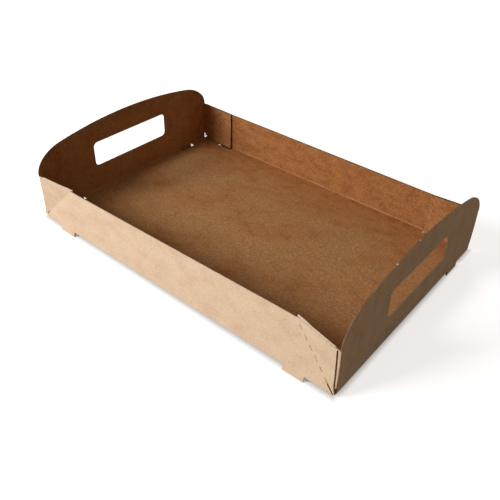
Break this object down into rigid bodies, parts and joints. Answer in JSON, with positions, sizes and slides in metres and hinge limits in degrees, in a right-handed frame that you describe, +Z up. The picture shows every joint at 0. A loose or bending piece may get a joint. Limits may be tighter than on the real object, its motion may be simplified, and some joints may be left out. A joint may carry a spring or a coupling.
{
  "type": "cardboard tray box",
  "caption": "Shallow open kraft board tray with arched ends, hand holes, sprung long walls and cut-out feet.",
  "frame": {"origin": "on the table, under the middle of the base", "axes": "+X along the tray towards its right end, +Y across it towards the back wall, +Z up"},
  "size_m": [0.3502, 0.2384, 0.0842],
  "materials": {
    "kraft_board": "matte"
  },
  "bodies": {
    "root": {"tray": "kraft_board"}
  },
  "joints": []
}
